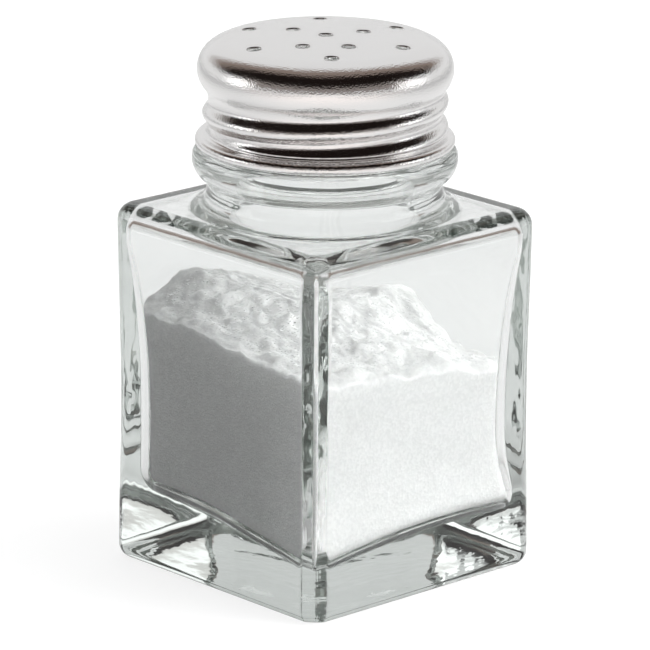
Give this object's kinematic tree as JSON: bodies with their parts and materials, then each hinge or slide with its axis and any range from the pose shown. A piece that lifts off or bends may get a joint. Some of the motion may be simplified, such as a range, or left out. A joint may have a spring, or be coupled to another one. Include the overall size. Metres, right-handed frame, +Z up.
{
  "type": "salt shaker",
  "caption": "Square clear glass salt shaker with a perforated screw-on stainless dome cap, partly filled with fine salt.",
  "frame": {"origin": "centre of the base, on the surface that the jar stands on", "axes": "+Z up along the neck and cap axis; X and Y square to the jar's flat sides"},
  "size_m": [0.0446, 0.0446, 0.0797],
  "materials": {
    "clear_glass": "fire-polished, clear",
    "satin_steel": "satin, stamped sheet",
    "salt": "loose fine crystals"
  },
  "bodies": {
    "jar": {"glass_jar": "clear_glass", "salt_fill": "salt"},
    "cap": {"shaker_cap": "satin_steel"}
  },
  "joints": [
    {"name": "cap_lift", "type": "slide", "parent": "jar", "child": "cap", "axis": [0, 0, 1], "range_m": [0, 0.03]}
  ]
}
